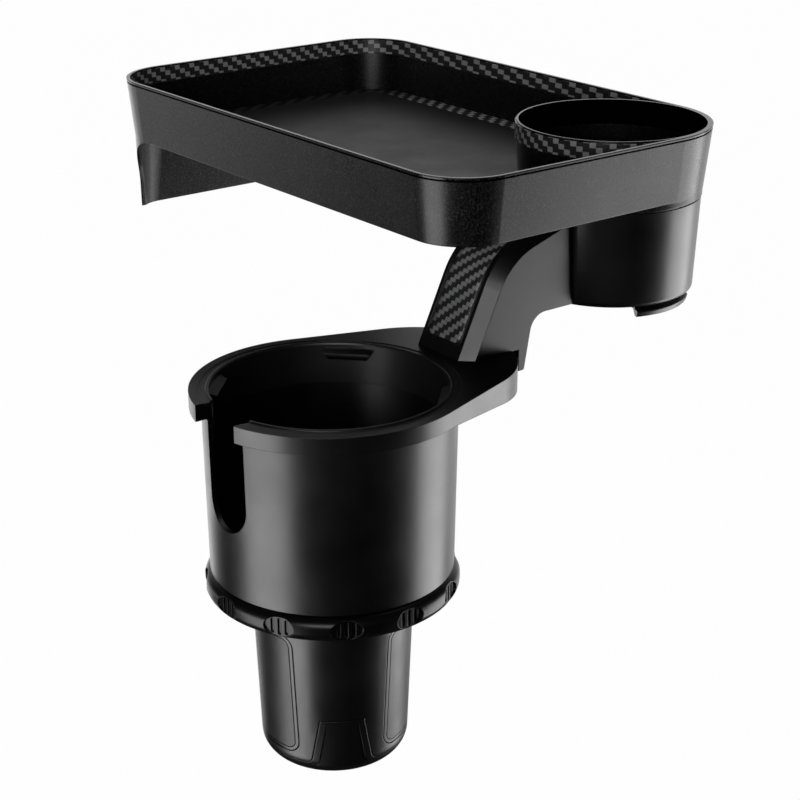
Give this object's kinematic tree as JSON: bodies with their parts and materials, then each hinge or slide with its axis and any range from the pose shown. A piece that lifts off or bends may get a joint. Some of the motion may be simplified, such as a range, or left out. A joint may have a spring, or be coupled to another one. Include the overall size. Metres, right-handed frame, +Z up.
{
  "type": "car cup holder with tray",
  "caption": "Car cup holder: a plug that expands in the car's own recess, a large cup on it, and an arm that carries a smaller cup and a turning tray.",
  "frame": {"origin": "centre of the plug's flat bottom, on the large cup's axis", "axes": "+Z up along the plug and cups, +X along the arm towards the second cup, the tray reaches to +Y"},
  "size_m": [0.2561, 0.2856, 0.2577],
  "materials": {
    "satin_black": "satin moulded plastic",
    "grained_black": "fine-grained moulded plastic",
    "gloss_black": "gloss moulded plastic",
    "twill": "carbon-look woven film",
    "soft_rubber": "soft black rubber",
    "mat_grey": "smooth satin mat",
    "dark_steel": "blackened steel"
  },
  "bodies": {
    "base": {"base_cap": "satin_black", "base_housing": "satin_black", "base_screws": "dark_steel", "large_cup": "satin_black", "large_cup_mat": "soft_rubber", "cup_screws": "dark_steel", "collar": "satin_black", "cup_liner": "soft_rubber", "arm_with_socket": "satin_black", "arm_inlay": "twill", "arm_screws": "dark_steel"},
    "ring": {"adjusting_ring": "gloss_black", "scroll_disc": "satin_black"},
    "jaw_left": {"jaw_left": "satin_black", "jaw_facing_left": "soft_rubber"},
    "jaw_front": {"jaw_front": "satin_black", "jaw_facing_front": "soft_rubber"},
    "jaw_right": {"jaw_right": "satin_black", "jaw_facing_right": "soft_rubber"},
    "tray": {"tray": "grained_black", "tray_rim_band": "twill", "cup_hole_band": "twill", "tray_floor_border": "twill", "tray_mat": "mat_grey", "second_cup_mat": "soft_rubber", "hold_down_plate": "satin_black", "hold_down_screw": "dark_steel"}
  },
  "joints": [
    {"name": "ring_turn", "type": "hinge", "parent": "base", "child": "ring", "pos_m": [0, 0, 0.0835], "axis": [0, 0, 1], "range_deg": [0, 90]},
    {"name": "jaw_left_slide", "type": "slide", "parent": "base", "child": "jaw_left", "axis": [-1, 0, 0], "range_m": [0, 0.005]},
    {"name": "jaw_front_slide", "type": "slide", "parent": "base", "child": "jaw_front", "axis": [0.5, -0.866, 0], "range_m": [0, 0.005]},
    {"name": "jaw_right_slide", "type": "slide", "parent": "base", "child": "jaw_right", "axis": [0.5, 0.866, 0], "range_m": [0, 0.005]},
    {"name": "tray_turn", "type": "hinge", "parent": "base", "child": "tray", "pos_m": [0.1557, 0, 0.1845], "axis": [0, 0, 1], "continuous": true}
  ],
  "couplings": [
    {"joint": "jaw_left_slide", "follows": "ring_turn", "m_per_rad": 0.0031831},
    {"joint": "jaw_front_slide", "follows": "ring_turn", "m_per_rad": 0.0031831},
    {"joint": "jaw_right_slide", "follows": "ring_turn", "m_per_rad": 0.0031831}
  ]
}
